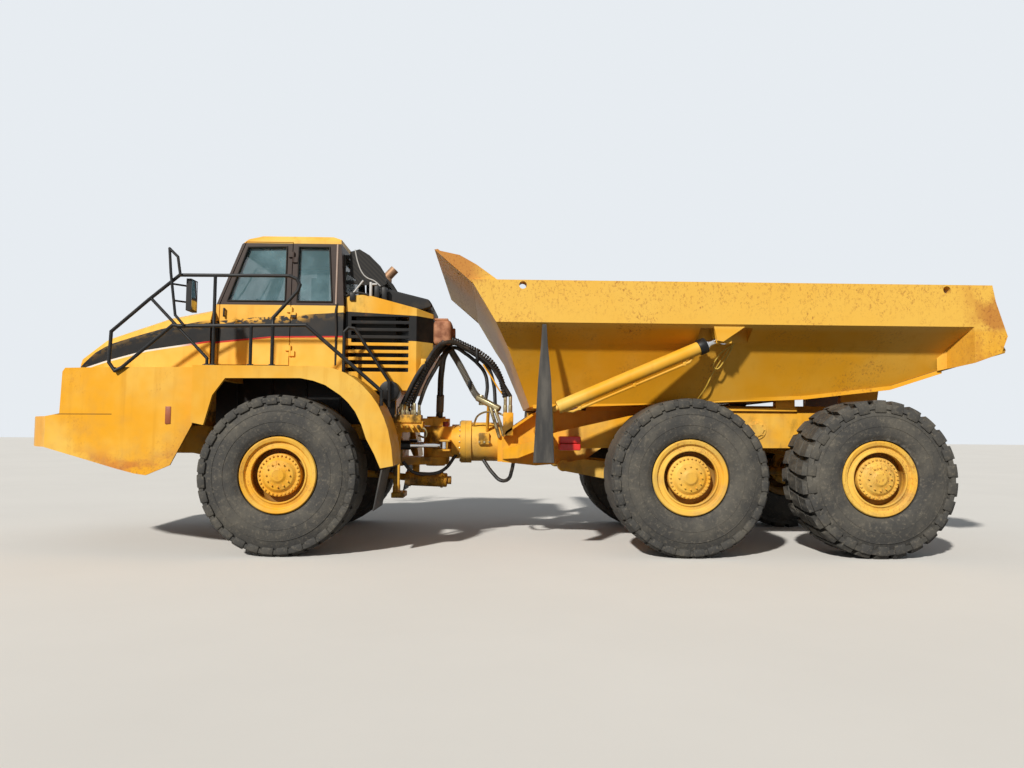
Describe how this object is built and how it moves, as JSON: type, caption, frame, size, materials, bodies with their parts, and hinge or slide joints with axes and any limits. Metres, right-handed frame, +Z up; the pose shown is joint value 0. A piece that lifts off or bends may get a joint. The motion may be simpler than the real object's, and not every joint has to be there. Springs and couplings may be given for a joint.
{
  "type": "articulated dump truck",
  "caption": "Articulated dump truck with a pivoting frame, a cab tractor unit, a tipping load body and driven wheels on three axles.",
  "frame": {"origin": "on the ground under the middle of the truck's length and width", "axes": "+X towards the tail, +Z up, the driver's door side is -Y"},
  "size_m": [10.8, 3.3, 3.52],
  "materials": {
    "yellow_paint": "sun-faded yellow paint, worn and rusty at its edges",
    "tyre_rubber": "dusty worn rubber",
    "black_paint": "satin black paint",
    "lamp_glass": "clear lens",
    "engine_paint": "painted casting, oily",
    "flap_rubber": "dusty rubber sheet",
    "window_glass": "green tinted glass",
    "cabin_plastic": "dark grained plastic and cloth",
    "dark_metal": "dusty core",
    "rusty_steel": "heat-stained, rusty",
    "steel": "dusty steel",
    "chrome_rod": "polished rod",
    "red_paint": "red paint"
  },
  "bodies": {
    "tractor": {"front_frame": "yellow_paint", "nose_body": "yellow_paint", "front_grille": "black_paint", "headlights": "lamp_glass", "engine_block": "engine_paint", "front_fenders": "yellow_paint", "mud_flaps": "flap_rubber", "cab_shell": "yellow_paint", "cab_glass": "window_glass", "cab_interior": "cabin_plastic", "radiator_housing": "yellow_paint", "radiator_core": "dark_metal", "rear_window_guard": "black_paint", "air_cowl": "black_paint", "exhaust_stack": "rusty_steel", "handrails": "black_paint", "mirrors": "black_paint", "front_axle": "yellow_paint", "front_struts": "steel"},
    "hood": {"hood": "yellow_paint"},
    "cab_door": {"cab_door": "yellow_paint", "door_glass": "window_glass"},
    "hitch": {"hitch_head": "yellow_paint"},
    "rear_frame": {"rear_frame": "yellow_paint", "walking_beams": "yellow_paint", "middle_axle": "yellow_paint", "rear_axle": "yellow_paint", "drive_shafts": "yellow_paint", "wheel_chocks": "red_paint"},
    "dump_body": {"dump_body": "yellow_paint", "body_flaps": "flap_rubber"},
    "wheel_front_left": {"tyre_front_left": "tyre_rubber", "rim_front_left": "yellow_paint"},
    "wheel_front_right": {"tyre_front_right": "tyre_rubber", "rim_front_right": "yellow_paint"},
    "wheel_middle_left": {"tyre_middle_left": "tyre_rubber", "rim_middle_left": "yellow_paint"},
    "wheel_middle_right": {"tyre_middle_right": "tyre_rubber", "rim_middle_right": "yellow_paint"},
    "wheel_rear_left": {"tyre_rear_left": "tyre_rubber", "rim_rear_left": "yellow_paint"},
    "wheel_rear_right": {"tyre_rear_right": "tyre_rubber", "rim_rear_right": "yellow_paint"},
    "steering_barrel_left": {"steering_barrel_left": "black_paint"},
    "steering_rod_left": {"steering_rod_left": "chrome_rod"},
    "steering_barrel_right": {"steering_barrel_right": "black_paint"},
    "steering_rod_right": {"steering_rod_right": "chrome_rod"},
    "hoist_barrel_left": {"hoist_barrel_left": "yellow_paint"},
    "hoist_stage_left": {"hoist_stage_left": "chrome_rod"},
    "hoist_rod_left": {"hoist_rod_left": "chrome_rod"},
    "hoist_barrel_right": {"hoist_barrel_right": "yellow_paint"},
    "hoist_stage_right": {"hoist_stage_right": "chrome_rod"},
    "hoist_rod_right": {"hoist_rod_right": "chrome_rod"}
  },
  "joints": [
    {"name": "steering", "type": "hinge", "parent": "tractor", "child": "hitch", "pos_m": [-0.91, 0, 1.15], "axis": [0, 0, 1], "range_deg": [-45, 45]},
    {"name": "frame_roll", "type": "hinge", "parent": "hitch", "child": "rear_frame", "pos_m": [-0.538, 0, 1.16], "axis": [1, 0, 0], "range_deg": [-15, 15]},
    {"name": "body_tip", "type": "hinge", "parent": "rear_frame", "child": "dump_body", "pos_m": [4.15, 0, 1.37], "axis": [0, 1, 0], "range_deg": [0, 70]},
    {"name": "hood_tilt", "type": "hinge", "parent": "tractor", "child": "hood", "pos_m": [-4.89, 0, 1.93], "axis": [0, -1, 0], "range_deg": [0, 60]},
    {"name": "door_swing", "type": "hinge", "parent": "tractor", "child": "cab_door", "pos_m": [-2.505, -0.8296, 2.6], "axis": [0, 0.0529, 0.9986], "range_deg": [0, 60]},
    {"name": "wheel_front_left_spin", "type": "hinge", "parent": "tractor", "child": "wheel_front_left", "pos_m": [-2.4, -1.315, 0.825], "axis": [0, 1, 0], "continuous": true},
    {"name": "wheel_front_right_spin", "type": "hinge", "parent": "tractor", "child": "wheel_front_right", "pos_m": [-2.4, 1.315, 0.825], "axis": [0, 1, 0], "continuous": true},
    {"name": "wheel_middle_left_spin", "type": "hinge", "parent": "rear_frame", "child": "wheel_middle_left", "pos_m": [1.845, -1.315, 0.825], "axis": [0, 1, 0], "continuous": true},
    {"name": "wheel_middle_right_spin", "type": "hinge", "parent": "rear_frame", "child": "wheel_middle_right", "pos_m": [1.845, 1.315, 0.825], "axis": [0, 1, 0], "continuous": true},
    {"name": "wheel_rear_left_spin", "type": "hinge", "parent": "rear_frame", "child": "wheel_rear_left", "pos_m": [3.83, -1.315, 0.825], "axis": [0, 1, 0], "continuous": true},
    {"name": "wheel_rear_right_spin", "type": "hinge", "parent": "rear_frame", "child": "wheel_rear_right", "pos_m": [3.83, 1.315, 0.825], "axis": [0, 1, 0], "continuous": true},
    {"name": "steering_barrel_left_swing", "type": "hinge", "parent": "tractor", "child": "steering_barrel_left", "pos_m": [-1.93, -0.52, 1.12], "axis": [0, 0, 1], "range_deg": [-3.2, 3.2]},
    {"name": "steering_rod_left_slide", "type": "slide", "parent": "steering_barrel_left", "child": "steering_rod_left", "axis": [0.9945, 0.1047, 0], "range_m": [-0.295, 0.295]},
    {"name": "steering_barrel_right_swing", "type": "hinge", "parent": "tractor", "child": "steering_barrel_right", "pos_m": [-1.93, 0.52, 1.12], "axis": [0, 0, 1], "range_deg": [-3.2, 3.2]},
    {"name": "steering_rod_right_slide", "type": "slide", "parent": "steering_barrel_right", "child": "steering_rod_right", "axis": [0.9945, -0.1047, 0], "range_m": [-0.295, 0.295]},
    {"name": "hoist_barrel_left_swing", "type": "hinge", "parent": "rear_frame", "child": "hoist_barrel_left", "pos_m": [0.348, -1.46, 1.491], "axis": [0, -1, 0], "range_deg": [0, 3.52]},
    {"name": "hoist_stage_left_slide", "type": "slide", "parent": "hoist_barrel_left", "child": "hoist_stage_left", "axis": [0.9184, 0, 0.3956], "range_m": [0, 1.2248]},
    {"name": "hoist_rod_left_slide", "type": "slide", "parent": "hoist_stage_left", "child": "hoist_rod_left", "axis": [0.9184, 0, 0.3956], "range_m": [0, 1.2248]},
    {"name": "hoist_barrel_right_swing", "type": "hinge", "parent": "rear_frame", "child": "hoist_barrel_right", "pos_m": [0.348, 1.46, 1.491], "axis": [0, -1, 0], "range_deg": [0, 3.52]},
    {"name": "hoist_stage_right_slide", "type": "slide", "parent": "hoist_barrel_right", "child": "hoist_stage_right", "axis": [0.9184, 0, 0.3956], "range_m": [0, 1.2248]},
    {"name": "hoist_rod_right_slide", "type": "slide", "parent": "hoist_stage_right", "child": "hoist_rod_right", "axis": [0.9184, 0, 0.3956], "range_m": [0, 1.2248]}
  ],
  "couplings": [
    {"joint": "steering_barrel_left_swing", "follows": "steering", "ratio": 0.07},
    {"joint": "steering_rod_left_slide", "follows": "steering", "m_per_rad": 0.375},
    {"joint": "steering_barrel_right_swing", "follows": "steering", "ratio": 0.07},
    {"joint": "steering_rod_right_slide", "follows": "steering", "m_per_rad": -0.375},
    {"joint": "hoist_barrel_left_swing", "follows": "body_tip", "ratio": 0.045934},
    {"joint": "hoist_stage_left_slide", "follows": "body_tip", "m_per_rad": 1.0009},
    {"joint": "hoist_rod_left_slide", "follows": "body_tip", "m_per_rad": 1.0009},
    {"joint": "hoist_barrel_right_swing", "follows": "body_tip", "ratio": 0.045934},
    {"joint": "hoist_stage_right_slide", "follows": "body_tip", "m_per_rad": 1.0009},
    {"joint": "hoist_rod_right_slide", "follows": "body_tip", "m_per_rad": 1.0009}
  ]
}
